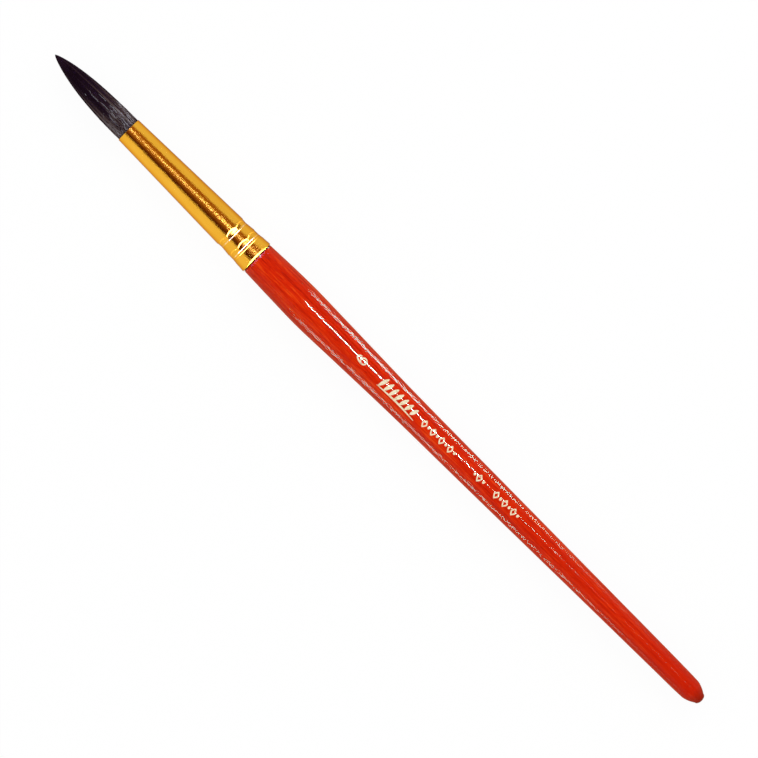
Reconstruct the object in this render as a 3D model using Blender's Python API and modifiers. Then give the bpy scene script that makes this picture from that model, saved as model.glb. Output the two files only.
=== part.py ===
"""Round watercolour brush: soft hair in a crimped metal ferrule on a turned and lacquered wooden handle.

The brush lies level along X with the tip of its hair towards +X, and Z is up. The origin is at the middle
of the length, on the surface that the belly of the handle rests on. Every piece is turned about one axis.
Lengths are in metres. A profile is a list of (station, radius) pairs, and a station is the distance
from the tip of the hair, measured along the axis.
"""

import math

import bpy

MM = 0.001

# Lengths along the axis
OVERALL_LENGTH = 183.0 * MM
HAIR_OUT = 21.1 * MM
FERRULE_LENGTH = 36.2 * MM
TENON_LENGTH = 15.0 * MM
HAIR_EMBEDDED = 12.0 * MM

# Hair
HAIR_RADIUS = 2.60 * MM
HAIR_POINT_LENGTH = 18.0 * MM
FLEX_SHARE = 0.15
TUFT_STEPS = 11
TIE_FROM_MOUTH = 8.6 * MM
TIE_RADIUS = 2.15 * MM
ROOT_END_RADIUS = 2.30 * MM
NECK_LENGTH = 1.8 * MM
THREAD_DIAMETER = 0.30 * MM
THREAD_WRAPS = 6

# Ferrule: outer radius, wall and the two crimps
MOUTH_RADIUS = 2.82 * MM
WAIST_RADIUS = 3.52 * MM
REAR_RADIUS = 3.87 * MM
FERRULE_WALL = 0.20 * MM
LIP_LENGTH = 0.5 * MM
WAIST_FROM_REAR = 8.1 * MM
CRIMPS_FROM_REAR = (6.2 * MM, 3.0 * MM)
CRIMP_HALF_WIDTH = 0.7 * MM
CRIMP_DEPTH = 0.16 * MM

# Handle: lacquered radius at distances behind the ferrule
HANDLE_OUTLINE = (
    (0.0 * MM, 3.66 * MM),
    (6.9 * MM, 3.89 * MM),
    (13.9 * MM, 4.03 * MM),
    (20.9 * MM, 3.86 * MM),
    (32.9 * MM, 3.51 * MM),
    (42.4 * MM, 3.28 * MM),
    (64.9 * MM, 3.02 * MM),
    (96.9 * MM, 2.65 * MM),
    (119.4 * MM, 2.38 * MM),
    (122.3 * MM, 2.29 * MM),
)
NOSE_ROUND_LENGTH = 0.75 * MM
NOSE_ROUND_RADIUS = 1.22 * MM
LACQUER = 0.10 * MM

# Bond lines and clearances
GLUE_THICKNESS = 0.10 * MM
GLUE_SETBACK = 1.0 * MM
RESIN_BACK = 2.4 * MM
RESIN_COLLAR = 3.6 * MM
GAP = 0.03 * MM
END_GAP = 0.06 * MM

# Facets round every turned piece, so that nested pieces share their flats
SIDES = 24
BELLY_RADIUS = max(radius for _, radius in HANDLE_OUTLINE)
AXIS_HEIGHT = BELLY_RADIUS * math.cos(math.pi / SIDES)

# Stations of the joints between pieces
MOUTH = HAIR_OUT
REAR = HAIR_OUT + FERRULE_LENGTH
FLEX = MOUTH - FLEX_SHARE * HAIR_OUT

BRUSH = bpy.data.collections.new("paint_brush")


def clear_scene():
    """Empties the scene and adds the collection of the brush."""
    for thing in list(bpy.data.objects):
        bpy.data.objects.remove(thing, do_unlink=True)
    bpy.context.scene.collection.children.link(BRUSH)


def add_axis():
    """The empty that carries every piece: its own Z is the axis of the brush, and it points along +X."""
    axis = bpy.data.objects.new("brush_axis", None)
    axis.empty_display_size = 10 * MM
    axis.location = (0.0, 0.0, AXIS_HEIGHT)
    axis.rotation_euler = (0.0, math.pi / 2, 0.0)
    BRUSH.objects.link(axis)
    return axis


def material(name, colour, roughness, metallic=0.0):
    made = bpy.data.materials.new(name)
    made.use_nodes = True
    made.diffuse_color = (*colour, 1.0)
    shader = made.node_tree.nodes["Principled BSDF"]
    shader.inputs["Base Color"].default_value = (*colour, 1.0)
    shader.inputs["Roughness"].default_value = roughness
    shader.inputs["Metallic"].default_value = metallic
    return made


def turn(name, profile, axis, finish, origin=OVERALL_LENGTH / 2, closed=False):
    """Turns a profile about the brush's axis. It runs from the hair end to the butt on the outer side.

    origin is the station of the object's own origin, and closed joins the profile's last point to its first.
    """
    points = [(radius, 0.0, origin - station) for station, radius in profile]
    edges = [(i, i + 1) for i in range(len(points) - 1)]
    if closed:
        edges.append((len(points) - 1, 0))
    mesh = bpy.data.meshes.new(name)
    mesh.from_pydata(points, edges, [])
    piece = bpy.data.objects.new(name, mesh)
    BRUSH.objects.link(piece)
    piece.parent = axis
    piece.location = (0.0, 0.0, OVERALL_LENGTH / 2 - origin)
    piece.rotation_euler = (0.0, 0.0, math.pi / SIDES)
    screw = piece.modifiers.new("Turn", "SCREW")
    screw.axis = "Z"
    screw.steps = SIDES
    screw.render_steps = SIDES
    screw.use_merge_vertices = True
    screw.merge_threshold = 0.000001
    screw.use_smooth_shade = True
    mesh.materials.append(finish)
    return piece


def solidify(piece, thickness):
    """Gives a turned skin its wall, on the inner side of the surface."""
    wall = piece.modifiers.new("Wall", "SOLIDIFY")
    wall.thickness = thickness
    wall.offset = -1.0
    wall.use_even_offset = True


def inset(profile, distance):
    """The profile moved towards the axis by distance, square to itself. A point on the axis stays on it."""
    moved = []
    last = len(profile) - 1
    for i, (station, radius) in enumerate(profile):
        before = profile[max(i - 1, 0)]
        after = profile[min(i + 1, last)]
        run = after[0] - before[0]
        rise = after[1] - before[1]
        length = math.hypot(run, rise)
        if radius == 0.0:
            moved.append((station - distance, 0.0))
        else:
            moved.append((station + distance * rise / length, radius - distance * run / length))
    return moved


def smooth_value(outline, place):
    """The height at place on a smooth curve through the outline's points."""
    last = len(outline) - 1
    i = 0
    while i < last - 1 and place > outline[i + 1][0]:
        i += 1

    def slope(k):
        a = outline[max(k - 1, 0)]
        b = outline[min(k + 1, last)]
        return (b[1] - a[1]) / (b[0] - a[0])

    (x0, y0), (x1, y1) = outline[i], outline[i + 1]
    span = x1 - x0
    u = (place - x0) / span
    start = y0 * (2 * u**3 - 3 * u**2 + 1) + slope(i) * span * (u**3 - 2 * u**2 + u)
    finish = y1 * (3 * u**2 - 2 * u**3) + slope(i + 1) * span * (u**3 - u**2)
    return start + finish


def hair_radius(station):
    """Radius of the hair: a long ogive point that fills out to the body of the bundle."""
    share = min(station / HAIR_POINT_LENGTH, 1.0)
    return HAIR_RADIUS * (1.0 - (1.0 - share) ** 2.1) ** 0.73


def ferrule_radius(station):
    """Outer radius of the ferrule: a straight lip, a cone, a flare to the rear rim, and the two crimps."""
    behind_mouth = station - MOUTH
    waist = FERRULE_LENGTH - WAIST_FROM_REAR
    if behind_mouth <= waist:
        share = max(behind_mouth - LIP_LENGTH, 0.0) / (waist - LIP_LENGTH)
        radius = MOUTH_RADIUS + (WAIST_RADIUS - MOUTH_RADIUS) * share
    else:
        share = (behind_mouth - waist) / WAIST_FROM_REAR
        radius = WAIST_RADIUS + (REAR_RADIUS - WAIST_RADIUS) * share**1.4
    for crimp in CRIMPS_FROM_REAR:
        offset = abs(station - (REAR - crimp)) / CRIMP_HALF_WIDTH
        if offset < 1.0:
            radius -= CRIMP_DEPTH * (0.5 + 0.5 * math.cos(math.pi * offset))
    return radius


def crimp_stations():
    """Stations across each crimp: both edges, both flanks and the bottom."""
    steps = (-1.0, -0.5, 0.0, 0.5, 1.0)
    return [REAR - crimp + step * CRIMP_HALF_WIDTH for crimp in CRIMPS_FROM_REAR for step in steps]


def ferrule_profile(start, end):
    """Outer profile of the ferrule between two stations."""
    fixed = [MOUTH + LIP_LENGTH, REAR - WAIST_FROM_REAR, *crimp_stations(), REAR - 1.2 * MM, REAR]
    stations = [start, *[s for s in fixed if start < s < end], end]
    return [(s, ferrule_radius(s)) for s in stations]


def handle_profile():
    """Lacquered profile of the handle: the swelling body, then a conical nose with a round end."""
    knots = [distance for distance, _ in HANDLE_OUTLINE]
    halfway = [(a + b) / 2 for a, b in zip(knots, knots[1:])]
    profile = [(REAR + END_GAP + d, smooth_value(HANDLE_OUTLINE, d)) for d in sorted(knots + halfway)]
    round_start = OVERALL_LENGTH - NOSE_ROUND_LENGTH
    for degrees in (0, 30, 60):
        angle = math.radians(degrees)
        profile.append((round_start + NOSE_ROUND_LENGTH * math.sin(angle), NOSE_ROUND_RADIUS * math.cos(angle)))
    return [*profile, (OVERALL_LENGTH, 0.0)]


def add_hair(axis):
    """The bundle in three stretches: the root inside the ferrule, the short waist that bends, and the tuft."""
    dark_hair = material("squirrel_hair", (0.045, 0.026, 0.024), 0.55)
    shares = [(step / TUFT_STEPS) ** 2 for step in range(TUFT_STEPS + 1)]
    tuft = [(FLEX * share, hair_radius(FLEX * share)) for share in shares]
    turn("hair_tuft", [*tuft, (FLEX, 0.0)], axis, dark_hair, origin=FLEX)

    waist_start = FLEX + END_GAP
    waist_end = MOUTH - END_GAP
    held = MOUTH_RADIUS - FERRULE_WALL - GAP
    waist = [(waist_start, 0.0), (waist_start, hair_radius(waist_start)), (waist_end, held), (waist_end, 0.0)]
    turn("hair_waist", waist, axis, dark_hair)

    tie = MOUTH + TIE_FROM_MOUTH
    tie_end = tie + THREAD_WRAPS * THREAD_DIAMETER + 2 * GAP
    root_end = MOUTH + HAIR_EMBEDDED
    neck = tie - NECK_LENGTH
    full = ferrule_radius(neck) - FERRULE_WALL - GAP
    face = MOUTH + END_GAP
    root = [(face, 0.0), (face, held), (neck, full), (tie, TIE_RADIUS), (tie_end, TIE_RADIUS),
            (tie_end + 0.3 * MM, ROOT_END_RADIUS), (root_end, ROOT_END_RADIUS), (root_end, 0.0)]
    turn("hair_root", root, axis, dark_hair)


def add_binding_thread(axis):
    """Thread wound round the root of the bundle, its wraps lying side by side in one ring."""
    linen = material("linen_thread", (0.62, 0.56, 0.44), 0.85)
    start = MOUTH + TIE_FROM_MOUTH + GAP
    inner = TIE_RADIUS + GAP
    valley = inner + 0.6 * THREAD_DIAMETER
    crest = inner + THREAD_DIAMETER
    ring = [(start, valley)]
    for wrap in range(THREAD_WRAPS):
        middle = start + (wrap + 0.5) * THREAD_DIAMETER
        ring.append((middle, crest))
        ring.append((middle + 0.5 * THREAD_DIAMETER, valley))
    end = start + THREAD_WRAPS * THREAD_DIAMETER
    ring += [(end, inner), (start, inner)]
    turn("binding_thread", ring, axis, linen, closed=True)


def add_resin_plug(axis):
    """Cup of set resin that holds the root of the hair in the ferrule. Its mouth faces the hair."""
    amber = material("set_resin", (0.42, 0.24, 0.08), 0.25)
    back = MOUTH + HAIR_EMBEDDED + END_GAP
    front = back - RESIN_COLLAR
    end = back + RESIN_BACK
    bore = TIE_RADIUS + THREAD_DIAMETER + 2 * GAP
    skin = FERRULE_WALL + GAP
    cup = [(back, 0.0), (back, bore), (front, bore),
           (front, ferrule_radius(front) - skin), (end, ferrule_radius(end) - skin), (end, 0.0)]
    turn("resin_plug", cup, axis, amber)


def add_ferrule(axis):
    """Seamless tapered tube, rolled into the handle's tenon by two crimps."""
    gold = material("gold_ferrule", (0.83, 0.50, 0.10), 0.28, metallic=1.0)
    tube = turn("ferrule", ferrule_profile(MOUTH, REAR), axis, gold)
    solidify(tube, FERRULE_WALL)


def add_tenon_glue(axis):
    """Film of adhesive between the tenon and the ferrule."""
    film = material("tenon_adhesive", (0.72, 0.62, 0.40), 0.35)
    bond = ferrule_profile(REAR - TENON_LENGTH + GLUE_SETBACK, REAR - GLUE_SETBACK)
    outer = inset(bond, FERRULE_WALL + GAP)
    inner = inset(bond, FERRULE_WALL + GAP + GLUE_THICKNESS)
    turn("tenon_glue", outer + inner[::-1], axis, film, closed=True)


def add_wooden_handle(axis, lacquered):
    """Turned handle of one piece with its tenon, which the crimps press in."""
    birch = material("birch_wood", (0.66, 0.47, 0.28), 0.6)
    tenon = inset(ferrule_profile(REAR - TENON_LENGTH, REAR), FERRULE_WALL + GLUE_THICKNESS + 2 * GAP)
    front, radius = tenon[0]
    chamfer = 0.6 * MM
    blank = [(front - chamfer, 0.0), (front - chamfer, radius - chamfer), *tenon]
    blank += inset(lacquered, LACQUER + GAP)
    turn("wooden_handle", blank, axis, birch)


def add_handle_lacquer(axis, lacquered):
    """Coat of red lacquer over the bare handle, open where the ferrule begins."""
    red = material("red_lacquer", (0.62, 0.03, 0.006), 0.18)
    coat = turn("handle_lacquer", lacquered, axis, red)
    solidify(coat, LACQUER)


def main():
    clear_scene()
    axis = add_axis()
    lacquered = handle_profile()
    add_hair(axis)
    add_binding_thread(axis)
    add_resin_plug(axis)
    add_ferrule(axis)
    add_tenon_glue(axis)
    add_wooden_handle(axis, lacquered)
    add_handle_lacquer(axis, lacquered)
    bpy.context.view_layer.update()


main()
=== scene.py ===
import math

import bpy
import numpy as np
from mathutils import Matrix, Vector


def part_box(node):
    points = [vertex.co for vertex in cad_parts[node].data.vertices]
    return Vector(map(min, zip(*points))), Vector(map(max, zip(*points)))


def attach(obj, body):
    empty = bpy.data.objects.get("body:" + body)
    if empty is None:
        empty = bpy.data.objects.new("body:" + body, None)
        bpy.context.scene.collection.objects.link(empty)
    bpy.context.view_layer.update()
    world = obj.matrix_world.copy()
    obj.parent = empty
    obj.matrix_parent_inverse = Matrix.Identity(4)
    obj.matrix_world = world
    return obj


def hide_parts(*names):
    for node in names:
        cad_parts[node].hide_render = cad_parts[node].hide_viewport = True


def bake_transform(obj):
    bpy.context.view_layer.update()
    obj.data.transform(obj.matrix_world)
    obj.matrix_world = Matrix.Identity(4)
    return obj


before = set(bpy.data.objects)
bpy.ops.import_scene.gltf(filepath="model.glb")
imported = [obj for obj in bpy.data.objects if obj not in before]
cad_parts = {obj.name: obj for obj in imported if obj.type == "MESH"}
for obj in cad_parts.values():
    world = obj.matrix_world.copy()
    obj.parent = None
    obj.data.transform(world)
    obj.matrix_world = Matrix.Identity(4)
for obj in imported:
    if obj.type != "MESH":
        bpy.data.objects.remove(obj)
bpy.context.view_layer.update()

MM = 0.001

# Places taken from the frame. The brush lies along X with its hair towards +X
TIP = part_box("hair_tuft")[1].x
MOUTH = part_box("ferrule")[1].x
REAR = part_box("ferrule")[0].x
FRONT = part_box("handle_lacquer")[1].x
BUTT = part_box("handle_lacquer")[0].x
AXIS_HEIGHT = (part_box("handle_lacquer")[0].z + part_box("handle_lacquer")[1].z) / 2

# Hair
HAIR_RADIUS = 2.66 * MM
HAIR_POINT_LENGTH = 18.0 * MM
TIP_LEAN = -0.29 * MM
STRANDS = 1900
STRAND_STEPS = 15
WISPS = 96
STRAND_RADIUS = 0.045 * MM
UNDERFUR = 300
HAIR_ROOT_DEPTH = 0.04 * MM
# Tones of the locks that face up, partly browner and blacker hair and partly painted glints: degrees from
# straight up, towards +Y, and the change of tone
LOCK_AND_GLINT_TONES = (
    (-80, 0.0),
    (-66, -0.10),
    (-56, 0.24),
    (-42, 0.16),
    (-32, 0.10),
    (-22, 0.26),
    (-12, -0.02),
    (0, -0.12),
    (8, 0.16),
    (15, -0.20),
    (28, 0.08),
    (46, 0.20),
    (56, 0.28),
    (66, -0.22),
    (80, 0.0),
)
# Stray pale hairs: radians round the bundle, then where they start and end behind the tip, in millimetres
STRAY_HAIRS = (
    (0.00, 15.5, 13.2),
    (0.12, 12.9, 10.6),
    (0.04, 10.5, 10.0),
    (0.52, 10.3, 9.8),
    (-0.35, 13.9, 11.8),
)

# Ferrule
FERRULE_WALL = 0.17 * MM
RIM_ROUNDING = 0.07 * MM
JAWS = 8
JAW_LENGTH = 1.25 * MM
JAW_DEPTH = 0.105 * MM
RIDGE_HEIGHT = 0.032 * MM
RIDGE_DIP = 0.022 * MM
# Radius at distances ahead of the rear rim: the rolled band, two waists at the crimps, the cone and the lip
FERRULE_OUTLINE = np.array((
    (0.0, 3.87),
    (1.3, 3.78),
    (2.1, 3.73),
    (2.75, 3.64),
    (3.1, 3.61),
    (3.5, 3.64),
    (4.1, 3.66),
    (4.9, 3.57),
    (5.7, 3.49),
    (6.4, 3.44),
    (7.3, 3.55),
    (8.3, 3.55),
    (35.7, 2.84),
    (36.2, 2.84),
)) * MM
# Each crimp: where its jaw marks start ahead of the rear rim, and the fine ridges raised near there
CRIMPS = (
    (6.35 * MM, (0.0,)),
    (3.15 * MM, (0.10 * MM, -0.42 * MM)),
)

# Handle: radius at distances behind its front edge
HANDLE_OUTLINE = np.array((
    (0.0, 3.66),
    (6.9, 3.89),
    (13.9, 4.03),
    (20.9, 3.86),
    (32.9, 3.51),
    (42.4, 3.28),
    (64.9, 3.02),
    (96.9, 2.65),
    (119.4, 2.38),
    (122.3, 2.29),
)) * MM
# How far the axis of the visual handle strays sideways at distances behind its front edge
HANDLE_BOW = np.array((
    (0.0, -0.02),
    (9.0, -0.01),
    (16.5, 0.07),
    (26.0, 0.05),
    (60.0, 0.02),
    (85.0, -0.03),
    (111.0, -0.07),
    (124.0, -0.05),
)) * MM
NOSE_ROUND_LENGTH = 0.75 * MM
NOSE_ROUND_RADIUS = 1.25 * MM
NOSE_SWELL = 0.17 * MM
NOSE_BEND = 0.22 * MM
COAT = 0.05 * MM

# Print: stroke width, and places across the handle and behind its front edge. Bare numbers are millimetres
STROKE = 0.32 * MM
PRINT_LINE = -0.20 * MM
NUMERAL_PLACE = 29.75 * MM
NUMERAL_LINE = -0.46 * MM
FOIL_TOP = 0.022 * MM
FOIL_UNDERSIDE = -0.004 * MM
LEAVES = 7
LEAF_START = 35.6
LEAF_PITCH = 1.42
PRINT_PITCH = 1.20
PRINT_ROWS = (
    (47.2, ("diamond", "dot", "diamond", "dot", "diamond", "dot", "diamond", "dot")),
    (61.4, ("dot", "diamond", "dot")),
    (67.4, ("diamond", "dot", "diamond", "dot", "diamond", "dot")),
)

# Lights that only reflections show
CARD_HEIGHT = 0.70
LOW_CARD_FRONT = 22.0 * MM
LOW_CARD_BUTT = -94.0 * MM
LOW_CARD_COLOUR = (0.30, 1.0, 0.88)
# Shares of each low card's strength, at places along X in millimetres
LEFT_CARD = (
    (-94, 0.01),
    (-79, 0.02),
    (-63, 0.06),
    (-45, 0.50),
    (-18, 1.0),
    (2, 1.0),
    (16, 0.80),
    (22, 0.30),
)
RIGHT_CARD = (
    (-94, 0.03),
    (-79, 0.10),
    (-63, 0.50),
    (-45, 1.0),
    (-18, 0.86),
    (2, 0.82),
    (16, 0.64),
    (22, 0.30),
)
# The upright cards at the rear end of the ferrule: a dark shade, a bright bar and a pale skirt each side
SHADE_PLACE = REAR - 0.5 * MM
SHADE_COLOUR = (0.20, 0.15, 0.16)
SHADE_FOOT = 0.0086
SHADE_TOP = 0.470
BAR_PLACE = REAR + 0.5 * MM
BAR_ANGLE = -15.2
BAR_COLOUR = (1.0, 0.98, 2.6)
BAR_STRENGTH = 9.0
SKIRT_COLOUR = (1.0, 0.92, 1.0)
SKIRT_STRENGTH = 1.3
# The dark card's colours at angles from straight up, towards +Y
DARK_CARD = (
    (-53, (0.33, 0.130, 0.030)),
    (-36, (0.33, 0.135, 0.030)),
    (-29, (0.42, 0.210, 0.080)),
    (-20, (0.60, 0.400, 0.260)),
    (-7, (0.56, 0.350, 0.240)),
    (0, (0.34, 0.160, 0.080)),
    (9, (0.21, 0.080, 0.030)),
    (18, (0.12, 0.036, 0.015)),
    (26, (0.075, 0.018, 0.010)),
    (39, (0.07, 0.016, 0.010)),
)
# What the floor beside the brush shows in its sides: warm and darker under it, a painted shadow and painted
# bounce light, at places towards +Y
NEAR_FLOOR = 40 * MM
FLOOR_COLOURS = (
    (-40 * MM, (0.86, 0.85, 0.83)),
    (-20 * MM, (0.83, 0.79, 0.74)),
    (-7 * MM, (0.76, 0.62, 0.45)),
    (-2 * MM, (0.35, 0.20, 0.12)),
    (2 * MM, (0.62, 0.50, 0.40)),
    (7 * MM, (0.86, 0.76, 0.60)),
    (20 * MM, (0.91, 0.87, 0.82)),
    (40 * MM, (0.94, 0.93, 0.91)),
)
# Strip lights: name, degrees from straight up, height, ends along X, half width, colour and strength
STRIPS = (
    ("strip_core", -17.8, 0.48, (-0.042, 0.027), 0.036, (0.25, 1.0, 1.0), 470.0),
    ("strip_fade", -17.8, 0.48, (-0.076, -0.042), 0.034, (0.25, 1.0, 1.0), 85.0),
    ("strip_handle", -18.2, 0.50, (-0.170, 0.046), 0.020, (0.5, 1.0, 1.0), 12.0),
    ("strip_ferrule", -14.6, 0.50, (0.076, 0.700), 0.024, (1.0, 1.04, 2.3), 1.25),
    ("strip_spark", -14.6, 0.48, (0.076, 0.700), 0.003, (1.0, 1.04, 3.4), 12.0),
)
LEFT_CARD_STRENGTH = 120.0
RIGHT_CARD_STRENGTH = 56.0
SOFT_BOX_STRENGTH = 1.9
# The sky: strength towards -Y and +Y, the share left below the horizon, and the heights it fades between
SKY_AWAY = 0.83
SKY_TOWARDS = 0.93
SKY_BELOW = 0.30
HORIZON = (-0.06, 0.02)
PAPER_GLOW = 0.947
FLOOR_DEPTH = -0.06 * MM
REFLECTED_FLOOR_DEPTH = -0.07 * MM
FLOOR_HALF_SIZE = 40

# Camera: the size of its square field at the brush's axis, which sets how far up it stands, and its turn
FIELD = 0.15172
LENS = 500.0
SENSOR = 36.0
TURN = -135.10


def smooth_curve(points, places):
    """Heights at places on a smooth curve through points, each a (place, height) pair."""
    x, y = points[:, 0], points[:, 1]
    slope = np.gradient(y, x)
    slope[1:-1] = (y[2:] - y[:-2]) / (x[2:] - x[:-2])
    places = np.clip(places, x[0], x[-1])
    i = np.clip(np.searchsorted(x, places, side="right") - 1, 0, len(x) - 2)
    span = x[i + 1] - x[i]
    u = (places - x[i]) / span
    start = y[i] * (2 * u**3 - 3 * u**2 + 1) + slope[i] * span * (u**3 - 2 * u**2 + u)
    finish = y[i + 1] * (3 * u**2 - 2 * u**3) + slope[i + 1] * span * (u**3 - u**2)
    return start + finish


def smoothstep(value):
    value = np.clip(value, 0.0, 1.0)
    return value * value * (3 - 2 * value)


def around(x, radius, angle, shift=0.0):
    """Points round the brush's axis. Angle 0 is straight up, and a quarter turn is towards +Y."""
    x, radius, angle, shift = np.broadcast_arrays(x, radius, angle, shift)
    return np.stack([x, shift + radius * np.sin(angle), AXIS_HEIGHT + radius * np.cos(angle)], axis=-1)


def ripple(x, angle, seed, size, modes=14, turns=7):
    """Slow random unevenness of a turned surface, about -1 to 1. It closes on itself round the axis."""
    draw = np.random.default_rng(seed)
    total = np.zeros(np.broadcast(x, angle).shape)
    for _ in range(modes):
        wave = draw.uniform(-1.0, 1.0) * 2 * math.pi / size
        turn = draw.integers(-turns, turns + 1)
        total += np.cos(wave * x + turn * angle + draw.uniform(0, 2 * math.pi))
    return total / math.sqrt(modes)


# ---------------------------------------------------------------- meshes


def new_object(name, points, faces, finish, smooth=True):
    mesh = bpy.data.meshes.new(name)
    mesh.from_pydata(np.asarray(points).reshape(-1, 3).tolist(), [], faces)
    mesh.materials.append(finish)
    if smooth:
        mesh.shade_smooth()
    mesh.validate()
    made = bpy.data.objects.new(name, mesh)
    bpy.context.scene.collection.objects.link(made)
    return made


def grid_faces(rows, columns, wrap_rows=False):
    """Quads of a grid of points that closes on itself across its columns, and if asked across its rows."""
    last = rows if wrap_rows else rows - 1
    faces = []
    for i in range(last):
        a, b = i * columns, ((i + 1) % rows) * columns
        for k in range(columns):
            n = (k + 1) % columns
            faces.append((a + k, b + k, b + n, a + n))
    return faces


def turned(name, points, finish, wrap_rows=False, flip=False):
    """A turned piece from a grid of points, rows by columns.

    Where it isn't a ring, each end closes on a pole.
    """
    rows, columns = points.shape[:2]
    faces = grid_faces(rows, columns, wrap_rows)
    flat = points.reshape(-1, 3)
    if not wrap_rows:
        poles = np.array([points[0].mean(axis=0), points[-1].mean(axis=0)])
        first, last = len(flat), len(flat) + 1
        end = (rows - 1) * columns
        faces += [(first, k, (k + 1) % columns) for k in range(columns)]
        faces += [(last, end + (k + 1) % columns, end + k) for k in range(columns)]
        flat = np.concatenate([flat, poles])
    if flip:
        faces = [face[::-1] for face in faces]
    return new_object(name, flat, faces, finish)


# ---------------------------------------------------------------- finishes


class Finish:
    """A material whose node tree is built one node at a time round its Principled BSDF."""

    def __init__(self, name, **settings):
        self.material = bpy.data.materials.new(name)
        self.material.use_nodes = True
        self.tree = self.material.node_tree
        self.shader = self.tree.nodes["Principled BSDF"]
        self.place = self.node("ShaderNodeTexCoord").outputs["Object"]
        for socket, value in settings.items():
            self.set(socket.replace("_", " "), value)

    def set(self, socket, value):
        names = {each.name.lower(): each for each in self.shader.inputs}
        self.feed(names[socket.lower()], value)

    def feed(self, socket, value):
        if isinstance(value, bpy.types.NodeSocket):
            self.tree.links.new(value, socket)
        else:
            socket.default_value = value

    def node(self, kind, **settings):
        made = self.tree.nodes.new(kind)
        for key, value in settings.items():
            setattr(made, key, value)
        return made

    def noise(self, size, detail=3.0, roughness=0.55, distortion=0.0, offset=0.0):
        """Noise from 0 to 1, with grains of size (along, across, across) in millimetres."""
        mapping = self.node("ShaderNodeMapping")
        mapping.inputs["Scale"].default_value = [1 / (each * MM) for each in size]
        mapping.inputs["Location"].default_value = (offset, offset, offset)
        self.feed(mapping.inputs["Vector"], self.place)
        made = self.node("ShaderNodeTexNoise")
        self.feed(made.inputs["Vector"], mapping.outputs["Vector"])
        made.inputs["Scale"].default_value = 1.0
        made.inputs["Detail"].default_value = detail
        made.inputs["Roughness"].default_value = roughness
        made.inputs["Distortion"].default_value = distortion
        return made.outputs["Fac"]

    def maths(self, operation, a, b=0.0):
        made = self.node("ShaderNodeMath", operation=operation)
        self.feed(made.inputs[0], a)
        self.feed(made.inputs[1], b)
        return made.outputs[0]

    def span(self, value, low, high, to_low=0.0, to_high=1.0, smooth=False):
        """value, moved from the range low to high into the range to_low to to_high, and held there."""
        made = self.node("ShaderNodeMapRange")
        if smooth:
            made.interpolation_type = "SMOOTHSTEP"
        for socket, number in zip(made.inputs, (value, low, high, to_low, to_high)):
            self.feed(socket, number)
        return made.outputs[0]

    def ramp(self, value, stops):
        made = self.node("ShaderNodeValToRGB")
        band = made.color_ramp.elements
        band[0].position = stops[0][0]
        band[1].position = stops[-1][0]
        for position, _ in stops[1:-1]:
            band.new(position)
        for element, (_, colour) in zip(band, stops):
            element.color = (*colour, 1.0)
        self.feed(made.inputs[0], value)
        return made.outputs["Color"]

    def mix(self, share, a, b):
        made = self.node("ShaderNodeMix", data_type="RGBA", blend_type="MIX")
        self.feed(made.inputs[0], share)
        for socket, colour in ((made.inputs[6], a), (made.inputs[7], b)):
            self.feed(socket, (*colour, 1.0) if isinstance(colour, tuple) else colour)
        return made.outputs[2]

    def bump(self, height, depth, below=None):
        """A bump whose height runs from 0 to 1 over depth, on top of the bump below."""
        made = self.node("ShaderNodeBump")
        made.inputs["Strength"].default_value = 1.0
        made.inputs["Distance"].default_value = depth
        self.feed(made.inputs["Height"], height)
        if below is not None:
            self.feed(made.inputs["Normal"], below)
        return made.outputs["Normal"]

    def along(self):
        """Place along the brush, in metres."""
        made = self.node("ShaderNodeSeparateXYZ")
        self.feed(made.inputs[0], self.place)
        return made.outputs["X"]

    def across(self):
        """Place across the brush, in metres."""
        made = self.node("ShaderNodeSeparateXYZ")
        self.feed(made.inputs[0], self.place)
        return made.outputs["Y"]

    def attribute(self, name):
        return self.node("ShaderNodeAttribute", attribute_name=name).outputs["Fac"]


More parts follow.
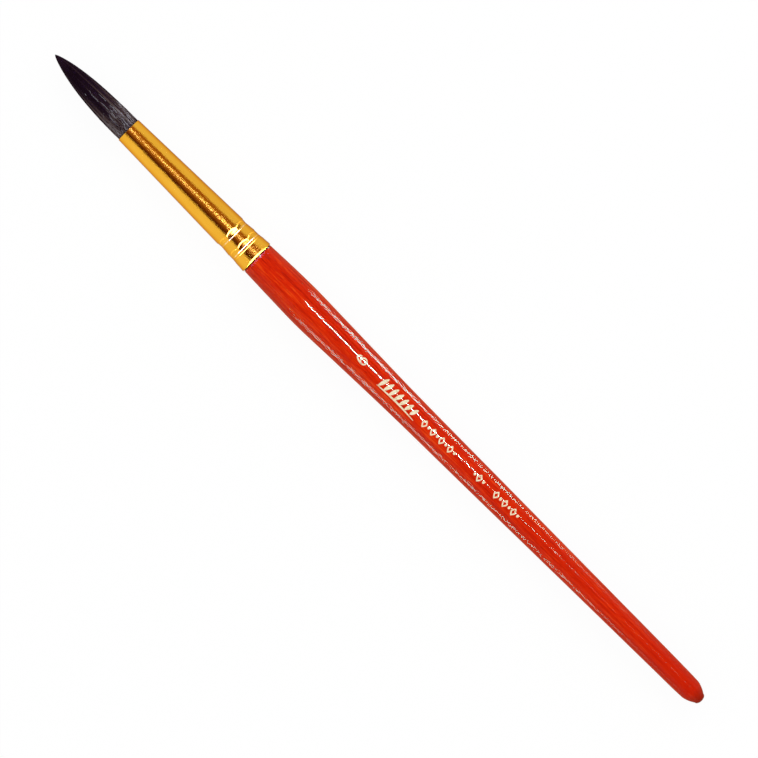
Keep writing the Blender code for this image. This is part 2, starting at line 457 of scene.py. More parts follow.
def lacquer_finish():
    """Translucent red lacquer: the grain and the pores of the wood show under a clear gloss."""
    f = Finish(
        "red_lacquer",
        coat_weight=0.14,
        coat_roughness=0.05,
        coat_ior=1.4,
        specular_ior_level=0.0,
        sheen_weight=0.32,
        sheen_roughness=0.5,
        sheen_tint=(1.0, 0.48, 0.24, 1.0),
    )
    streaks = f.noise((9, 0.30, 0.30), detail=5, roughness=0.62, distortion=0.25)
    bands = f.noise((30, 1.3, 1.3), detail=2, offset=3.0)
    fine = f.noise((2.4, 0.15, 0.15), detail=3, roughness=0.6, offset=7.0)
    tone = f.maths("ADD", f.maths("MULTIPLY", streaks, 0.45), f.maths("MULTIPLY", bands, 0.22))
    tone = f.maths("ADD", tone, f.maths("MULTIPLY", fine, 0.33))
    red = f.ramp(tone, (
        (0.37, (0.38, 0.005, 0.0003)),
        (0.45, (0.58, 0.012, 0.0005)),
        (0.53, (0.68, 0.020, 0.0008)),
        (0.61, (0.80, 0.060, 0.0050)),
    ))
    pores = f.noise((1.5, 0.10, 0.10), detail=2, roughness=0.5, offset=11.0)
    pore = f.span(pores, 0.58, 0.68, smooth=True)
    red = f.mix(f.maths("MULTIPLY", pore, 0.55), red, (0.28, 0.008, 0.002))
    darker_end = f.span(f.along(), FRONT - 80 * MM, BUTT, 0.0, 0.60)
    red = f.mix(darker_end, red, (0.50, 0.008, 0.0006))
    # Painted shade: the rounded nose is darkened towards the butt.
    nose = f.span(f.along(), BUTT + 2.6 * MM, BUTT + 0.2 * MM, 0.0, 0.85)
    red = f.mix(nose, red, (0.20, 0.005, 0.0008))
    # Painted shade: a thin dark band at the front edge, in the gap by the ferrule's rear rim.
    painted_gap_shade = f.span(f.along(), FRONT - 0.26 * MM, FRONT - 0.12 * MM, 0.0, 0.9)
    red = f.mix(painted_gap_shade, red, (0.06, 0.003, 0.002))
    # Painted highlight: near-white specks on the lip just behind the front edge, standing in for glints.
    glint_specks = f.noise((0.60, 0.40, 0.40), detail=1, offset=17.0)
    edge = f.span(f.along(), FRONT - 0.55 * MM, FRONT - 0.30 * MM)
    painted_lip_glint = f.maths("MULTIPLY", f.span(glint_specks, 0.63, 0.66), edge)
    red = f.mix(painted_lip_glint, red, (0.90, 0.84, 0.82))
    f.set("base color", red)
    f.set("roughness", f.span(fine, 0.3, 0.7, 0.38, 0.55))
    peel = f.noise((0.50, 0.17, 0.17), detail=2, roughness=0.6, offset=23.0)
    ripened = f.span(f.along(), FRONT - 60 * MM, FRONT - 42 * MM, 1.0, 0.22)
    surface = f.bump(f.maths("MULTIPLY", peel, ripened), 0.0045 * MM)
    beads = f.noise((0.34, 0.24, 0.24), detail=1, offset=29.0)
    flank = f.span(f.maths("ABSOLUTE", f.across()), 1.3 * MM, 2.1 * MM)
    surface = f.bump(f.maths("MULTIPLY", beads, flank), 0.036 * MM, below=surface)
    f.set("coat normal", surface)
    f.set("normal", f.bump(streaks, 0.010 * MM))
    return f.material


def gold_finish():
    """Gold-coloured bright metal with fine handling marks."""
    f = Finish("gold_ferrule", metallic=1.0, specular_tint=(0.66, 0.50, 0.50, 1.0))
    cloud = f.noise((6, 1.4, 1.4), detail=4, offset=2.0)
    gold = f.ramp(cloud, (
        (0.35, (0.92, 0.455, 0.034)),
        (0.55, (0.945, 0.48, 0.040)),
        (0.70, (0.965, 0.51, 0.050)),
    ))
    rubbed_and_glint = f.noise((0.5, 0.35, 0.35), detail=3, offset=9.0)
    # Paler gold along each crimp line: partly metal rubbed by the jaws, partly a painted glint.
    for ahead, _ in CRIMPS:
        line = f.maths("ABSOLUTE", f.maths("SUBTRACT", f.along(), REAR + ahead))
        near = f.span(line, 0.05 * MM, 0.16 * MM, 0.75, 0.0)
        gold = f.mix(f.maths("MULTIPLY", near, f.span(rubbed_and_glint, 0.38, 0.60)), gold, (1.0, 0.80, 0.50))
    f.set("base color", gold)
    speckle = f.noise((0.34, 0.16, 0.16), detail=4, roughness=0.65, offset=5.0)
    f.set("roughness", f.span(speckle, 0.32, 0.68, 0.06, 0.11))
    crinkle = f.noise((1.5, 0.42, 0.42), detail=2, roughness=0.5, distortion=0.4, offset=19.0)
    pits = f.noise((0.70, 0.12, 0.12), detail=2, roughness=0.6, offset=13.0)
    surface = f.bump(crinkle, 0.015 * MM)
    surface = f.bump(pits, 0.020 * MM, below=surface)
    f.set("normal", surface)
    return f.material


def hair_finish():
    """Dark hair: every strand has its own tone, from near black to brown, with a painted sheen that makes it
    paler near the ferrule.
    """
    f = Finish("squirrel_hair", specular_ior_level=0.03)
    grain = f.noise((1.4, 0.07, 0.07), detail=3, roughness=0.6)
    # Painted sheen: the tone is lifted towards the ferrule and lowered towards the tip.
    worn = f.span(f.along(), TIP - 7 * MM, TIP - 17 * MM, -0.30, 0.16)
    tone = f.maths("ADD", f.maths("MULTIPLY", f.attribute("tone"), 0.85), f.maths("MULTIPLY", grain, 0.15))
    colour = f.ramp(f.maths("ADD", tone, worn), (
        (0.16, (0.0120, 0.0040, 0.0100)),
        (0.38, (0.0240, 0.0110, 0.0190)),
        (0.58, (0.0600, 0.0330, 0.0350)),
        (0.78, (0.1250, 0.0850, 0.0760)),
        (0.95, (0.2200, 0.1750, 0.1650)),
    ))
    # Pale stray hairs, and painted glints on the short underfur.
    colour = f.mix(f.attribute("ash"), colour, (0.60, 0.60, 0.68))
    f.set("base color", colour)
    f.set("roughness", f.span(grain, 0.3, 0.7, 0.42, 0.62))
    return f.material


def foil_finish():
    """Pale stamped foil, slightly worn through."""
    f = Finish("pale_foil", specular_ior_level=0.0)
    wear = f.noise((0.35, 0.20, 0.20), detail=4, roughness=0.65)
    f.set("base color", f.ramp(wear, (
        (0.30, (0.52, 0.36, 0.14)),
        (0.44, (0.80, 0.68, 0.42)),
        (0.60, (0.92, 0.84, 0.62)),
    )))
    f.set("roughness", f.span(wear, 0.3, 0.7, 0.5, 0.32))
    f.set("normal", f.bump(wear, 0.006 * MM))
    return f.material


def wood_finish():
    f = Finish("birch_wood")
    grain = f.noise((14, 0.5, 0.5), detail=5, roughness=0.6)
    f.set("base color", f.ramp(grain, (
        (0.35, (0.42, 0.25, 0.12)),
        (0.52, (0.60, 0.42, 0.24)),
        (0.70, (0.74, 0.57, 0.37)),
    )))
    f.set("roughness", f.span(grain, 0.3, 0.7, 0.72, 0.55))
    f.set("normal", f.bump(grain, 0.03 * MM))
    return f.material


def resin_finish():
    f = Finish("set_resin", transmission_weight=0.2, ior=1.5)
    cloud = f.noise((0.9, 0.9, 0.9), detail=3)
    f.set("base color", f.ramp(cloud, ((0.3, (0.24, 0.11, 0.025)), (0.7, (0.52, 0.30, 0.10)))))
    f.set("roughness", f.span(cloud, 0.3, 0.7, 0.18, 0.34))
    f.set("normal", f.bump(cloud, 0.02 * MM))
    return f.material


def glue_finish():
    f = Finish("tenon_adhesive")
    cloud = f.noise((1.6, 0.8, 0.8), detail=3)
    f.set("base color", f.ramp(cloud, ((0.3, (0.58, 0.47, 0.27)), (0.7, (0.80, 0.72, 0.50)))))
    f.set("roughness", f.span(cloud, 0.3, 0.7, 0.28, 0.48))
    f.set("normal", f.bump(cloud, 0.02 * MM))
    return f.material


def thread_finish():
    """Waxed linen, with its twist across the wraps."""
    f = Finish("linen_thread", sheen_weight=0.2)
    fibre = f.noise((0.05, 0.35, 0.35), detail=4, roughness=0.65, distortion=0.6)
    f.set("base color", f.ramp(fibre, ((0.3, (0.40, 0.34, 0.23)), (0.7, (0.72, 0.66, 0.53)))))
    f.set("roughness", f.span(fibre, 0.3, 0.7, 0.72, 0.9))
    f.set("normal", f.bump(fibre, 0.03 * MM))
    return f.material


def root_finish():
    """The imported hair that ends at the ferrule's mouth."""
    f = Finish("hair_root", roughness=0.6)
    grain = f.noise((3.0, 0.12, 0.12), detail=4, roughness=0.6)
    f.set("base color", f.ramp(grain, ((0.35, (0.008, 0.005, 0.007)), (0.65, (0.05, 0.032, 0.028)))))
    f.set("normal", f.bump(grain, 0.03 * MM))
    return f.material


# ---------------------------------------------------------------- hair


def hair_radius(x):
    """Radius of the bundle: a long ogive point that fills out to a straight body."""
    share = np.clip((TIP - x) / HAIR_POINT_LENGTH, 0.0, 1.0)
    return HAIR_RADIUS * (1.0 - (1.0 - share) ** 2.1) ** 0.73


def hair_lean(x):
    """How far the point leans sideways."""
    return TIP_LEAN * np.clip(1.0 - (TIP - x) / HAIR_POINT_LENGTH, 0.0, 1.0) ** 1.5


def lock_and_glint_tone(angle):
    """Tone of the locks that face up, added to the random tone of each strand: partly the locks' own colour,
    partly painted glints.
    """
    places = np.radians([lock[0] for lock in LOCK_AND_GLINT_TONES])
    tones = [lock[1] for lock in LOCK_AND_GLINT_TONES]
    return np.interp((angle + math.pi) % (2 * math.pi) - math.pi, places, tones)


def lock_noise(angle, seed):
    """Random height of the lock of hair at an angle, from about 0 to 1, steady along the bundle."""
    draw = np.random.default_rng(seed)
    total = np.zeros_like(angle)
    for turns in (5, 9, 14, 22, 31, 47):
        total += np.cos(turns * angle + draw.uniform(0, 2 * math.pi)) * draw.uniform(0.6, 1.0)
    return 0.5 + total / 7.5


def set_shares(piece, **shares):
    """Stores a number for each of a piece's points under each name."""
    count = len(piece.data.vertices)
    for label, value in shares.items():
        attribute = piece.data.attributes.new(label, "FLOAT", "POINT")
        attribute.data.foreach_set("value", np.broadcast_to(value, count).astype(np.float32))


def strand_faces(count):
    """Faces of count three-sided strands, whose points follow each other."""
    faces = []
    block = STRAND_STEPS * 3
    for base in range(0, count * block, block):
        for a in range(base, base + block - 3, 3):
            b = a + 3
            for k in range(3):
                n = (k + 1) % 3
                faces.append((a + k, a + n, b + n, b + k))
        tail = base + block - 3
        faces.append((base + 2, base + 1, base))
        faces.append((tail, tail + 1, tail + 2))
    return faces


def add_strands(name, finish, seed, angle, start, end, fill, radius, tone, ash, wander):
    """Strands of hair that lie along the bundle. Each is a slim three-sided tube that thins to its end.

    angle says where a strand lies round the bundle, start and end where it runs, fill its share of the
    bundle's radius, and wander how far it strays sideways. All have one value for each strand.
    """
    draw = np.random.default_rng(seed)
    count = len(angle)
    along = np.linspace(0.0, 1.0, STRAND_STEPS)
    x = start[:, None] + (end - start)[:, None] * along
    phase = draw.uniform(0, 2 * math.pi, (count, 1))
    sway = np.sin(2.2 * math.pi * along + phase) + 0.6 * np.sin(5.1 * math.pi * along + 2 * phase)
    turn = angle[:, None] + wander[:, None] * sway / np.maximum(hair_radius(x), 0.4 * MM)
    out = np.maximum(fill[:, None] * hair_radius(x) - radius[:, None], 0.0)
    centre = around(x, out, turn, hair_lean(x))
    taper = np.minimum(1.0, 0.25 + 0.75 * (1.0 - along) / 0.35)
    thick = radius[:, None] * taper
    corners = []
    for side in (0.0, 2 * math.pi / 3, 4 * math.pi / 3):
        outward = np.stack([np.zeros_like(turn), np.sin(turn + side), np.cos(turn + side)], axis=-1)
        corners.append(centre + thick[..., None] * outward)
    made = new_object(name, np.stack(corners, axis=2), strand_faces(count), finish)
    each = STRAND_STEPS * 3
    set_shares(made, tone=np.repeat(tone, each), ash=np.repeat(ash, each))
    return made


def add_hair_core(finish, root):
    """The solid inside of the bundle, with shallow furrows between its locks."""
    columns, rows = 160, 90
    angle = np.arange(columns) * 2 * math.pi / columns
    places = root + (TIP - 0.05 * MM - root) * np.linspace(0.0, 1.0, rows) ** 0.85
    x = places[:, None]
    furrows = 0.03 * (lock_noise(angle, 5)[None, :] - 0.5)
    rough = 0.955 + furrows + 0.006 * ripple(x, angle, 6, 2.5 * MM, turns=40)
    core = turned("hair_core", around(x, hair_radius(x) * rough, angle, hair_lean(x)), finish, flip=True)
    set_shares(core, tone=0.12, ash=0.0)
    return core


def add_body_hair(finish, root):
    """The long hairs of the bundle. They end up to 9 mm short of the tip, and each wisp has its own tone."""
    draw = np.random.default_rng(41)
    angle = draw.uniform(0, 2 * math.pi, STRANDS)
    reach = draw.uniform(0.0, 1.0, STRANDS) ** 1.6
    wisp = np.floor((angle / (2 * math.pi) + draw.normal(0.0, 0.0015, STRANDS)) * WISPS).astype(int) % WISPS
    tone = 0.12 + 0.30 * lock_noise(angle, 7) + lock_and_glint_tone(angle) + draw.normal(0.0, 0.09, STRANDS)
    tone += draw.normal(0.0, 0.27, WISPS)[wisp]
    return add_strands(
        "hair_strands",
        finish,
        seed=42,
        angle=angle,
        start=np.full(STRANDS, root),
        end=TIP - 9.0 * MM * reach,
        fill=draw.uniform(0.955, 1.0, STRANDS),
        radius=STRAND_RADIUS * draw.uniform(0.7, 1.25, STRANDS),
        tone=np.clip(tone, 0.0, 0.9),
        ash=np.zeros(STRANDS),
        wander=draw.uniform(0.02, 0.10, STRANDS) * MM,
    )


def add_pale_hair(finish, root):
    """Short underfur near the ferrule, lighter brown with painted glints on it, and a few stray pale hairs
    on the point.
    """
    draw = np.random.default_rng(43)
    short = UNDERFUR
    angle = draw.uniform(0, 2 * math.pi, short)
    end = MOUTH + draw.uniform(0.9, 6.3, short) * MM
    start = np.maximum(root, end - draw.uniform(0.8, 3.2, short) * MM)
    # Painted glints on the underfur: random, and stronger on the side towards -Y.
    ash = draw.uniform(0.0, 1.0, short) ** 3.0 * (0.52 + 0.48 * np.cos(angle + 0.6))
    strays = np.array(STRAY_HAIRS)
    stray_count = len(strays)
    return add_strands(
        "hair_undercoat",
        finish,
        seed=44,
        angle=np.concatenate([angle, strays[:, 0]]),
        start=np.concatenate([start, TIP - strays[:, 1] * MM]),
        end=np.concatenate([end, TIP - strays[:, 2] * MM]),
        fill=np.concatenate([draw.uniform(1.0, 1.02, short), np.full(stray_count, 1.015)]),
        radius=STRAND_RADIUS * np.concatenate([draw.uniform(0.8, 1.35, short), np.full(stray_count, 0.8)]),
        tone=np.full(short + stray_count, 0.60),
        ash=np.concatenate([ash, np.full(stray_count, 0.60)]),
        wander=np.concatenate([draw.uniform(0.04, 0.30, short), np.full(stray_count, 0.02)]) * MM,
    )


def add_hair():
    finish = hair_finish()
    root = MOUTH - HAIR_ROOT_DEPTH
    core = add_hair_core(finish, root)
    body = add_body_hair(finish, root)
    pale = add_pale_hair(finish, root)
    for piece in (core, body, pale):
        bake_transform(piece)
    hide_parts("hair_tuft", "hair_waist")


# ---------------------------------------------------------------- ferrule


def jaw_marks(ahead, angle):
    """Depth pressed in by one ring of jaws, at distances ahead of the crimp's line, in metres."""
    gap = np.abs((angle * JAWS / (2 * math.pi) + 0.5) % 1.0 - 0.5) * 2
    front = JAW_LENGTH * (1.0 - 0.30 * gap**2)
    wall = smoothstep((front - ahead) / (0.30 * MM))
    floor = 0.25 + 0.75 * np.clip(ahead / front, 0.0, 1.0)
    before_line = smoothstep(ahead / (0.10 * MM) + 1.0)
    return JAW_DEPTH * wall * floor * before_line * (1.0 - gap**4)


def ferrule_radius(x, angle):
    """Outer radius: a lip, a cone and a rolled rear band, with two crimps pressed by rings of jaws."""
    ahead = x - REAR
    radius = smooth_curve(FERRULE_OUTLINE, ahead)
    for line, ridges in CRIMPS:
        radius = radius - jaw_marks(ahead - line, angle)
        for ridge in ridges:
            off = (ahead - line - ridge) / MM
            raised = RIDGE_HEIGHT * np.exp(-((off / 0.07) ** 2))
            sunk = RIDGE_DIP * np.exp(-(((off + 0.16) / 0.09) ** 2))
            radius = radius + (raised - sunk)
    return radius + 0.005 * MM * ripple(x, angle, 21, 4.0 * MM)


def add_ferrule():
    """A tube whose rims are rounded over, with its inner wall."""
    columns = 288
    angle = np.arange(columns) * 2 * math.pi / columns
    cone = np.linspace(MOUTH - RIM_ROUNDING, REAR + 8.6 * MM, 90)
    crimped = np.linspace(REAR + 8.5 * MM, REAR + RIM_ROUNDING, 190)
    x = np.concatenate([cone, crimped])[:, None]
    outer = ferrule_radius(x, angle)
    quarter = np.radians(np.array([15.0, 30.0, 45.0, 60.0, 75.0, 90.0]))[:, None]
    rear_x = REAR + RIM_ROUNDING * (1 - np.sin(quarter))
    rear = outer[-1] - RIM_ROUNDING * (1 - np.cos(quarter))
    front_x = MOUTH - RIM_ROUNDING * (1 - np.sin(quarter[::-1]))
    front = outer[0] - RIM_ROUNDING * (1 - np.cos(quarter[::-1]))
    inner_x = np.linspace(REAR, MOUTH, 40)[:, None]
    inner = smooth_curve(FERRULE_OUTLINE, inner_x - REAR) - FERRULE_WALL + 0.0 * angle
    all_x = np.concatenate([front_x, x, rear_x, inner_x])
    all_r = np.concatenate([front, outer, rear, inner])
    tube = turned("ferrule_tube", around(all_x, all_r, angle), gold_finish(), wrap_rows=True)
    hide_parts("ferrule")
    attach(tube, "brush")


# ---------------------------------------------------------------- handle


def handle_radius(x, angle):
    behind = FRONT - x
    radius = smooth_curve(HANDLE_OUTLINE, behind)
    shoulder = 0.10 * MM * (1.0 - np.clip(behind / (0.35 * MM), 0.0, 1.0)) ** 2
    return radius - shoulder + 0.004 * MM * ripple(x, angle, 31, 9.0 * MM, turns=5)


def handle_shift(x):
    """How far the handle's axis lies towards +Y."""
    return smooth_curve(HANDLE_BOW, FRONT - x)


def add_handle():
    """The coat: a turned shell with a thin inner wall, a short cone at the butt and a rounded nose."""
    columns = 176
    angle = np.arange(columns) * 2 * math.pi / columns
    corner = FRONT - HANDLE_OUTLINE[-1, 0]
    edge = FRONT - 0.5 * MM
    x = np.concatenate([np.linspace(FRONT, edge, 8)[:-1], np.linspace(edge, corner, 300)])[:, None]
    outer = handle_radius(x, angle)
    cone_end = BUTT + NOSE_ROUND_LENGTH
    cone_x = np.linspace(corner - NOSE_BEND, cone_end, 14)[:, None]
    share = (corner - cone_x) / (corner - cone_end)
    straight = outer[-1] + (NOSE_ROUND_RADIUS - outer[-1]) * share
    cone = straight + NOSE_SWELL * np.sin(math.pi * share) ** 0.8
    turn = np.radians(np.arange(8, 90, 8))[:, None]
    round_x = cone_end - NOSE_ROUND_LENGTH * np.sin(turn)
    round_r = NOSE_ROUND_RADIUS * np.cos(turn) * np.ones(columns)
    outer_x = np.concatenate([x, cone_x, round_x])
    outer_r = np.concatenate([outer, cone, round_r])
    keep = slice(None, -12, 6)
    inner_x = outer_x[keep][::-1]
    inner_r = outer_r[keep][::-1] - COAT
    all_x = np.concatenate([inner_x, outer_x])
    all_r = np.concatenate([inner_r, outer_r])
    coat = turned("lacquer_coat", around(all_x, all_r, angle, handle_shift(all_x)), lacquer_finish())
    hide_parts("handle_lacquer")
    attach(coat, "brush")


# ---------------------------------------------------------------- print


def ribbon(path, width):
    """One foil stroke: points on the handle either side of a path of (behind, across) pairs, in metres."""
    path = np.asarray(path, float)
    width = np.broadcast_to(np.asarray(width, float), len(path))
    step = np.gradient(path, axis=0)
    step /= np.linalg.norm(step, axis=1, keepdims=True)
    side = np.stack([-step[:, 1], step[:, 0]], axis=1)
    across = np.array([-1.0, -0.33, 0.33, 1.0])
    return path[:, None, :] + side[:, None, :] * (across[None, :, None] * width[:, None, None] / 2)


def bar(behind, across, length, height, count=9):
    """A straight stroke with its middle at (behind, across): length is along the handle."""
    along = np.linspace(-0.5, 0.5, count)[:, None]
    return np.array([behind, across]) + along * np.array([length, height])


def loop(behind, across, half_length, half_height, start=0, end=360, count=33):
    """An oval stroke, or part of one between two angles in degrees."""
    turn = np.radians(np.linspace(start, end, count))
    return np.stack([behind + half_length * np.cos(turn), across + half_height * np.sin(turn)], axis=1)


def leaf(behind, across, slant, height, width):
    """A slim leaf that is widest at its middle."""
    swell = np.sin(np.linspace(0, math.pi, 13)) ** 0.8
    return bar(behind, across, slant, height, 13), 0.16 * MM + width * swell


def diamond(behind, across, half_length, half_height):
    """An outlined diamond, drawn as one closed stroke."""
    corners = np.array([(1, 0), (0, 1), (-1, 0), (0, -1), (1, 0)], float) * (half_length, half_height)
    sides = [a + (b - a) * np.linspace(0, 1, 5)[:-1, None] for a, b in zip(corners, corners[1:])]
    return np.concatenate([*sides, corners[:1]]) + (behind, across)


def foil_strokes():
    """Generic marks: the size numeral, a sprig of slanted leaves, and rows of diamonds and dots."""
    strokes = []
    strokes.append((loop(NUMERAL_PLACE, NUMERAL_LINE, 0.66 * MM, 0.64 * MM), STROKE))
    strokes.append((loop(NUMERAL_PLACE, NUMERAL_LINE, 1.58 * MM, 0.64 * MM, start=85, end=236), STROKE))

    for k in range(LEAVES):
        at = (LEAF_START + LEAF_PITCH * k) * MM
        height = (2.45 - 0.10 * k) * MM
        strokes.append(leaf(at, PRINT_LINE - 0.14 * MM, -0.80 * MM, height, 0.62 * MM))
    swell = np.linspace(0, math.pi, 31)
    stem = (34.9 + 10.2 * swell / math.pi) * MM
    arch = PRINT_LINE + (1.20 - 0.25 * np.sin(swell)) * MM
    strokes.append((np.stack([stem, arch], axis=1), (0.12 + 0.26 * np.sin(swell)) * MM))

    for start, pattern in PRINT_ROWS:
        for k, kind in enumerate(pattern):
            at = (start + k * PRINT_PITCH) * MM
            if kind == "diamond":
                strokes.append((diamond(at, PRINT_LINE, 0.52 * MM, 0.78 * MM), 0.85 * STROKE))
            else:
                strokes.append(leaf(at, PRINT_LINE, 0.0, 0.62 * MM, 0.40 * MM))
    return strokes


def add_print():
    """All the strokes as one piece. Each is a thin closed shell that starts just inside the lacquer."""
    points, faces = [], []
    base = 0
    for path, width in foil_strokes():
        flat = ribbon(path, width)
        rows, columns = flat.shape[:2]
        x = FRONT - flat[..., 0]
        angle = flat[..., 1] / smooth_curve(HANDLE_OUTLINE, flat[..., 0])
        for lift in (FOIL_TOP, FOIL_UNDERSIDE):
            points.append(around(x, handle_radius(x, angle) + lift, angle, handle_shift(x)).reshape(-1, 3))
        layer = rows * columns

        def at(i, k, under):
            return base + under * layer + i * columns + k

        for i in range(rows - 1):
            for k in range(columns - 1):
                faces.append((at(i, k, 0), at(i, k + 1, 0), at(i + 1, k + 1, 0), at(i + 1, k, 0)))
                faces.append((at(i + 1, k, 1), at(i + 1, k + 1, 1), at(i, k + 1, 1), at(i, k, 1)))
            for k, way in ((0, 1), (columns - 1, -1)):
                side = (at(i, k, 0), at(i + 1, k, 0), at(i + 1, k, 1), at(i, k, 1))
                faces.append(side[::way])
        for k in range(columns - 1):
            for i, way in ((0, -1), (rows - 1, 1)):
                cap = (at(i, k, 0), at(i, k + 1, 0), at(i, k + 1, 1), at(i, k, 1))
                faces.append(cap[::way])
        base += 2 * layer
    marks = new_object("foil_marks", np.concatenate(points), faces, foil_finish(), smooth=False)
    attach(marks, "brush")


# ---------------------------------------------------------------- hidden pieces


def finish_hidden_nodes():
    """Finishes for the CAD nodes that keep their own shapes, all inside the ferrule or under the lacquer."""
    for node, finish in (
        ("wooden_handle", wood_finish()),
        ("resin_plug", resin_finish()),
        ("tenon_glue", glue_finish()),
        ("binding_thread", thread_finish()),
        ("hair_root", root_finish()),
    ):
        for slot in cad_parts[node].material_slots:
            slot.material = finish


# ---------------------------------------------------------------- studio


def plane(name, centre, along, across, finish):
    """A flat card: along and across are the vectors of its half sides."""
    centre, along, across = (np.array(each, float) for each in (centre, along, across))
    near = [centre - along - across, centre + along - across]
    far = [centre + along + across, centre - along + across]
    made = new_object(name, near + far, [(0, 1, 2, 3)], finish, smooth=False)
    return made


def glow(name, colour, strength, sampling="NONE"):
    """A material that only gives light."""
    made = bpy.data.materials.new(name)
    made.use_nodes = True
    shader = made.node_tree.nodes["Principled BSDF"]
    shader.inputs["Base Color"].default_value = (0.0, 0.0, 0.0, 1.0)
    shader.inputs["Specular IOR Level"].default_value = 0.0
    shader.inputs["Emission Color"].default_value = (*colour, 1.0)
    shader.inputs["Emission Strength"].default_value = strength
    made.cycles.emission_sampling = sampling
    return made


def only_in_reflections(card):
    """Hides a card from everything but reflections."""
    card.visible_camera = False
    card.visible_diffuse = False
    card.visible_shadow = False
    card.visible_transmission = False


def add_sky():
    """A soft white sky, a little brighter towards +Y, and dim below the horizon."""
    world = bpy.data.worlds.new("studio")
    bpy.context.scene.world = world
    world.use_nodes = True
    tree = world.node_tree
    place = tree.nodes.new("ShaderNodeTexCoord")
    split = tree.nodes.new("ShaderNodeSeparateXYZ")
    tree.links.new(place.outputs["Generated"], split.inputs[0])
    across = tree.nodes.new("ShaderNodeMapRange")
    across.inputs["From Min"].default_value = -1.0
    across.inputs["To Min"].default_value = SKY_AWAY
    across.inputs["To Max"].default_value = SKY_TOWARDS
    tree.links.new(split.outputs["Y"], across.inputs["Value"])
    upper = tree.nodes.new("ShaderNodeMapRange")
    upper.inputs["From Min"].default_value = HORIZON[0]
    upper.inputs["From Max"].default_value = HORIZON[1]
    upper.inputs["To Min"].default_value = SKY_BELOW
    tree.links.new(split.outputs["Z"], upper.inputs["Value"])
    product = tree.nodes.new("ShaderNodeMath")
    product.operation = "MULTIPLY"
    tree.links.new(across.outputs[0], product.inputs[0])
    tree.links.new(upper.outputs[0], product.inputs[1])
    background = tree.nodes["Background"]
    background.inputs["Color"].default_value = (1.0, 1.0, 1.0, 1.0)
    tree.links.new(product.outputs[0], background.inputs["Strength"])


def add_floor():
    """A pale floor that glows, so it holds next to no shadow. It gives the brush no light from below.

    A second floor, which only reflections see, shows in the brush's sides, with a painted shadow under the
    brush and a painted warm glow bounced from it.
    """
    paper = glow("pale_paper", (1, 1, 1), PAPER_GLOW)
    shader = paper.node_tree.nodes["Principled BSDF"]
    shader.inputs["Base Color"].default_value = (0.05, 0.05, 0.05, 1.0)
    shader.inputs["Roughness"].default_value = 0.9
    along, across = (FLOOR_HALF_SIZE, 0, 0), (0, FLOOR_HALF_SIZE, 0)
    floor = plane("floor", (0, 0, FLOOR_DEPTH), along, across, paper)
    floor.visible_diffuse = False
    floor.visible_glossy = False

    f = Finish("paper_near_brush", base_color=(0, 0, 0, 1), specular_ior_level=0.0, emission_strength=1.0)
    f.material.cycles.emission_sampling = "NONE"
    side = f.span(f.across(), -NEAR_FLOOR, NEAR_FLOOR)
    f.set("emission color", f.ramp(side, [
        ((place / NEAR_FLOOR + 1) / 2, colour) for place, colour in FLOOR_COLOURS
    ]))
    only_in_reflections(
        plane("floor_in_reflections", (0, 0, REFLECTED_FLOOR_DEPTH), along, across, f.material)
    )


def tangent(degrees):
    return math.tan(math.radians(degrees))


def add_dark_card():
    """A wide dark card over the brush, brighter near the strip lights and darkest towards +Y."""
    low = tangent(DARK_CARD[0][0])
    high = tangent(DARK_CARD[-1][0])
    f = Finish("dark_card", base_color=(0, 0, 0, 1), specular_ior_level=0.0, emission_strength=1.0)
    f.material.cycles.emission_sampling = "NONE"
    across = f.span(f.across(), low * CARD_HEIGHT, high * CARD_HEIGHT)
    f.set("emission color", f.ramp(across, [
        ((tangent(angle) - low) / (high - low), colour) for angle, colour in DARK_CARD
    ]))
    card = plane(
        "dark_card",
        (0, (low + high) / 2 * CARD_HEIGHT, CARD_HEIGHT),
        (-2.5, 0, 0),
        (0, (high - low) / 2 * CARD_HEIGHT, 0),
        f.material,
    )
    only_in_reflections(card)


def strip(name, towards, height, ends, half_width, colour, strength):
    """A light at an angle from straight up, between two places along X, that only shows in reflections."""
    start, end = ends
    centre = ((start + end) / 2, height * tangent(towards), height)
    half = (end - start) / 2
    light = glow(name, colour, strength)
    only_in_reflections(plane(name, centre, (-half, 0, 0), (0, half_width, 0), light))


def add_shade():
    """Upright cards at the ferrule's rear end, which keep the handle's strong lights off the gold.

    A dark one stands over the brush, with a bright bar that the crimps catch, and a pale one on each side.
    """
    middle = (SHADE_TOP + SHADE_FOOT) / 2
    half = (SHADE_TOP - SHADE_FOOT) / 2
    dark = glow("shade", SHADE_COLOUR, 1.0)
    only_in_reflections(plane("shade", (SHADE_PLACE, -0.12, middle), (0, 0.14, 0), (0, 0, half), dark))

    bar = glow("shade_bar", BAR_COLOUR, BAR_STRENGTH)
    centre = (BAR_PLACE, middle * tangent(BAR_ANGLE), middle)
    upwards = (0, half * tangent(BAR_ANGLE), half)
    only_in_reflections(plane("shade_bar", centre, (0, 0.014, 0), upwards, bar))

    pale = glow("shade_skirt", SKIRT_COLOUR, SKIRT_STRENGTH)
    for side in (-1, 1):
        centre = (SHADE_PLACE, side * 31 * MM, 10 * MM)
        only_in_reflections(plane("shade_skirt", centre, (0, 25 * MM, 0), (0, 0, 10 * MM), pale))


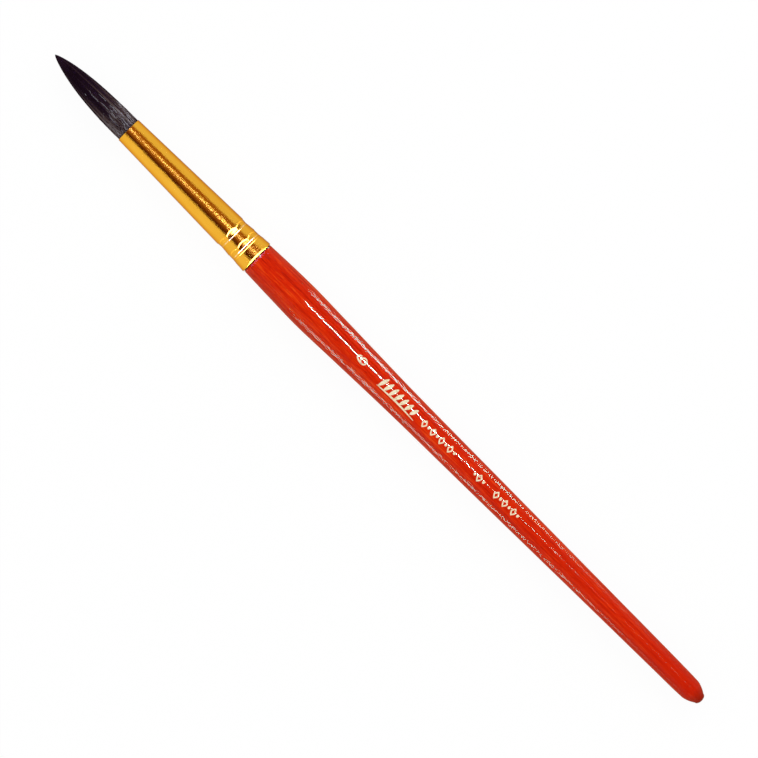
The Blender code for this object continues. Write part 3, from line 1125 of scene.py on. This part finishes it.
def low_card(name, side, strength, shares):
    """A narrow light just above the floor beside the handle, whose strength varies along the handle."""
    near, far = 30 * MM, 50 * MM
    reach = LOW_CARD_FRONT - LOW_CARD_BUTT
    centre = ((LOW_CARD_FRONT + LOW_CARD_BUTT) / 2, side * (near + far) / 2, AXIS_HEIGHT + 4.2 * MM)
    across = (0, side * (far - near) / 2, 6.6 * MM)
    along = (-side * reach / 2, 0, 0)
    f = Finish(name, base_color=(0, 0, 0, 1), specular_ior_level=0.0, emission_strength=strength)
    f.material.cycles.emission_sampling = "NONE"
    place = f.span(f.along(), LOW_CARD_BUTT, LOW_CARD_FRONT)
    f.set("emission color", f.ramp(place, [
        ((x * MM - LOW_CARD_BUTT) / reach, tuple(share * part for part in LOW_CARD_COLOUR))
        for x, share in shares
    ]))
    only_in_reflections(plane(name, centre, along, across, f.material))


def add_studio():
    add_sky()
    add_floor()
    add_dark_card()
    add_shade()
    for settings in STRIPS:
        strip(*settings)
    low_card("low_card_left", -1, LEFT_CARD_STRENGTH, LEFT_CARD)
    low_card("low_card_right", 1, RIGHT_CARD_STRENGTH, RIGHT_CARD)
    light = glow("soft_box", (1, 1, 1), SOFT_BOX_STRENGTH, sampling="AUTO")
    box = plane("soft_box", (0, -0.9, 0.9), (-1.2, 0, 0), (0, 0.25, 0.25), light)
    box.visible_camera = False
    box.visible_glossy = False


def add_camera():
    """Straight above, turned so that the brush lies from the upper left to the lower right."""
    view = bpy.data.cameras.new("camera")
    view.lens = LENS
    view.sensor_width = SENSOR
    view.clip_start = 0.05
    view.clip_end = 200.0
    camera = bpy.data.objects.new("camera", view)
    camera.location = (-0.28 * MM, -0.08 * MM, AXIS_HEIGHT + FIELD * LENS / SENSOR)
    camera.rotation_euler = (0.0, 0.0, math.radians(TURN))
    bpy.context.scene.collection.objects.link(camera)
    bpy.context.scene.camera = camera
    bpy.context.scene.view_settings.view_transform = "Standard"


add_camera()
add_studio()
add_hair()
add_ferrule()
add_handle()
add_print()
finish_hidden_nodes()
